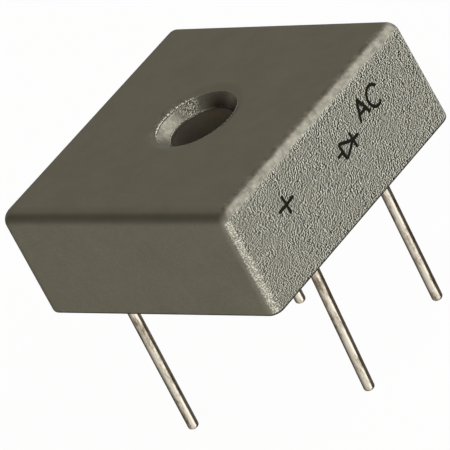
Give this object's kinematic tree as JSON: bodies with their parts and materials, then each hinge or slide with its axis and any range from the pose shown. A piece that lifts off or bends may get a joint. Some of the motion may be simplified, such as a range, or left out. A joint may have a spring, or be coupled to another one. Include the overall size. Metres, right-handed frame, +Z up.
{
  "type": "bridge rectifier",
  "caption": "Square potted bridge rectifier in a countersunk metal case, with round wire leads below and a central screw hole.",
  "frame": {"origin": "on the case's centre axis, at the level of the four lead tips", "axes": "+Z points up out of the flat heat-sink face, with the leads below; +X points out of the marked side; the positive lead is on that side, nearer the front, and the front is -Y"},
  "size_m": [0.0284, 0.0284, 0.0277],
  "materials": {
    "case": "matte grey, finely blasted",
    "sleeve": "black moulded plastic",
    "ceramic": "fired alumina, unglazed",
    "copper": "stamped copper, bare",
    "solder": "reflowed solder",
    "silicon": "sawn silicon, dark grey",
    "tinned_wire": "tinned copper wire, satin",
    "resin": "cast black epoxy"
  },
  "bodies": {
    "root": {"case_shell": "case", "bore_sleeve": "sleeve", "insulator_plate": "ceramic", "plate_positive": "copper", "plate_negative": "copper", "plate_ac_left": "copper", "plate_ac_right": "copper", "solder_front_upper": "solder", "diode_front": "silicon", "solder_front_lower": "solder", "solder_right_upper": "solder", "diode_right": "silicon", "solder_right_lower": "solder", "solder_back_upper": "solder", "diode_back": "silicon", "solder_back_lower": "solder", "solder_left_upper": "solder", "diode_left": "silicon", "solder_left_lower": "solder", "joint_ac_left": "solder", "lead_ac_left": "tinned_wire", "joint_positive": "solder", "lead_positive": "tinned_wire", "joint_ac_right": "solder", "lead_ac_right": "tinned_wire", "joint_negative": "solder", "lead_negative": "tinned_wire", "potting_resin": "resin"}
  },
  "joints": []
}
